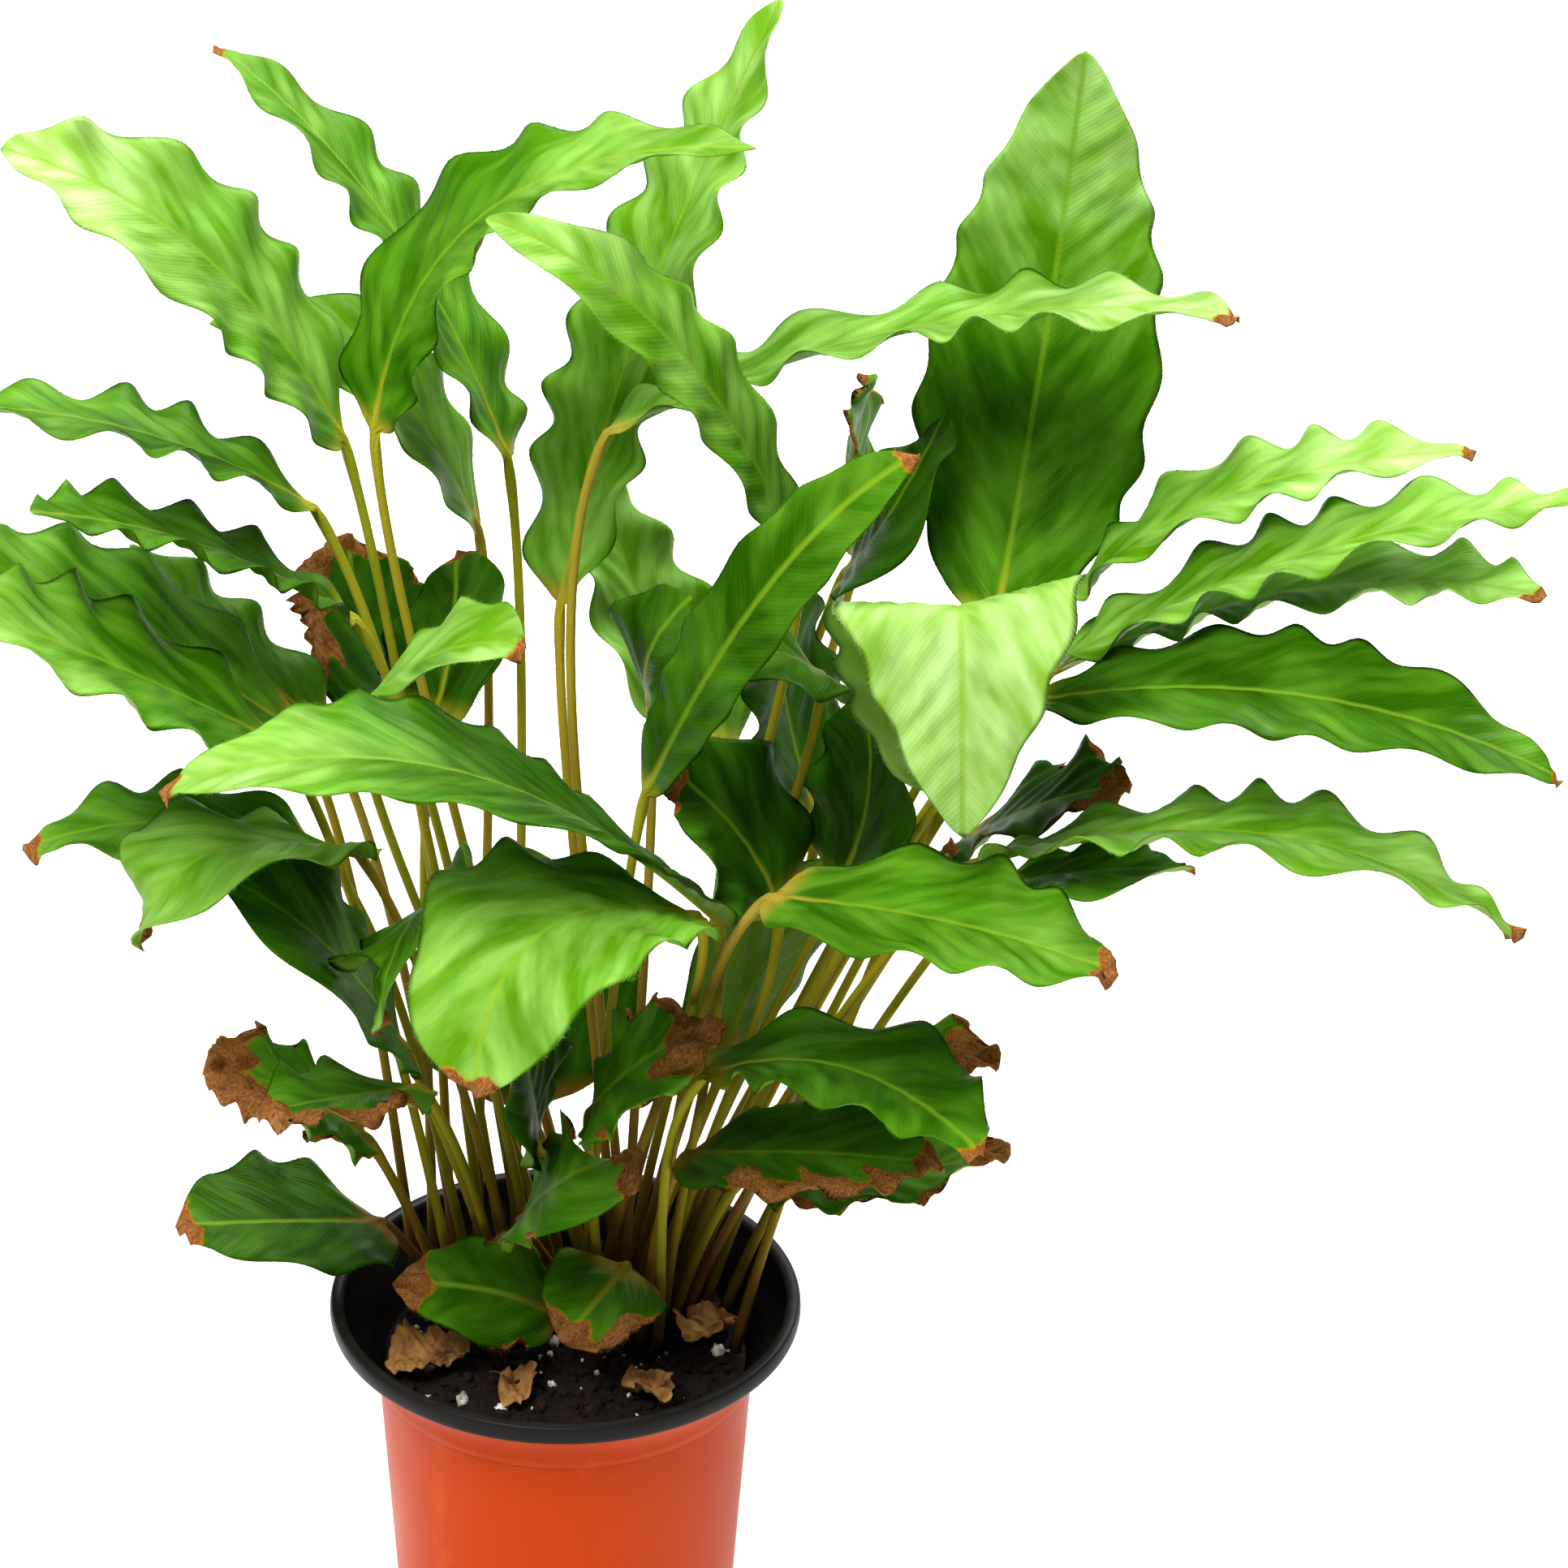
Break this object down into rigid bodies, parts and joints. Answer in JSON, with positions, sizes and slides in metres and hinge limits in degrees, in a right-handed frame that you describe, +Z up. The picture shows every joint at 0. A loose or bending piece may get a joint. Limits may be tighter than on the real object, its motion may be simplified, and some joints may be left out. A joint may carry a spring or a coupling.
{
  "type": "potted calathea",
  "caption": "Bushy calathea with long wavy lance-shaped leaves on slender stalks, growing from soil in an orange nursery pot with a black rolled lip.",
  "frame": {"origin": "centre of the pot's flat base, where it stands on a surface", "axes": "+Z up along the pot's axis; -Y is the side the plant was seen from; +X to its right"},
  "size_m": [0.341, 0.2225, 0.3772],
  "materials": {
    "pot_plastic": "satin terracotta-orange outside, black lip and inside",
    "compost": "crumbly dark peat with white perlite",
    "living_leaf": "satin green with fine hairs, paler veins, brown at some tips",
    "dry_leaf": "dry brown, matt"
  },
  "bodies": {
    "root": {"dead_leaf_front": "dry_leaf", "dead_leaf_front_left": "dry_leaf", "dead_leaf_front_right": "dry_leaf", "dead_leaf_right": "dry_leaf", "leaf_back_centre": "living_leaf", "leaf_back_high": "living_leaf", "leaf_back_left_1": "living_leaf", "leaf_back_left_2": "living_leaf", "leaf_back_left_3": "living_leaf", "leaf_back_left_4": "living_leaf", "leaf_back_low": "living_leaf", "leaf_back_right_small_1": "living_leaf", "leaf_back_right_small_2": "living_leaf", "leaf_base_crumpled_1": "living_leaf", "leaf_base_crumpled_2": "living_leaf", "leaf_centre_back_1": "living_leaf", "leaf_centre_back_2": "living_leaf", "leaf_centre_dark": "living_leaf", "leaf_centre_diagonal": "living_leaf", "leaf_centre_high": "living_leaf", "leaf_centre_small_1": "living_leaf", "leaf_centre_small_2": "living_leaf", "leaf_front_hanging": "living_leaf", "leaf_front_inner": "living_leaf", "leaf_front_left_small": "living_leaf", "leaf_front_left_tongue": "living_leaf", "leaf_front_right_broad": "living_leaf", "leaf_in_pot_pointed": "living_leaf", "leaf_in_pot_round": "living_leaf", "leaf_left_broad_1": "living_leaf", "leaf_left_broad_2": "living_leaf", "leaf_left_broad_3": "living_leaf", "leaf_left_brown_1": "living_leaf", "leaf_left_brown_2": "living_leaf", "leaf_left_high_1": "living_leaf", "leaf_left_high_2": "living_leaf", "leaf_left_low_1": "living_leaf", "leaf_left_low_2": "living_leaf", "leaf_left_low_3": "living_leaf", "leaf_left_mid_1": "living_leaf", "leaf_left_mid_2": "living_leaf", "leaf_left_over_rim": "living_leaf", "leaf_left_pale": "living_leaf", "leaf_right_drooping": "living_leaf", "leaf_right_far_1": "living_leaf", "leaf_right_far_2": "living_leaf", "leaf_right_far_3": "living_leaf", "leaf_right_far_4": "living_leaf", "leaf_right_far_5": "living_leaf", "leaf_right_high_1": "living_leaf", "leaf_right_low_1": "living_leaf", "leaf_right_low_2": "living_leaf", "leaf_right_low_3": "living_leaf", "leaf_right_low_4": "living_leaf", "leaf_right_mid_1": "living_leaf", "leaf_right_mid_2": "living_leaf", "leaf_right_underside": "living_leaf", "leaf_right_upright": "living_leaf", "pot": "pot_plastic", "soil": "compost"}
  },
  "joints": []
}
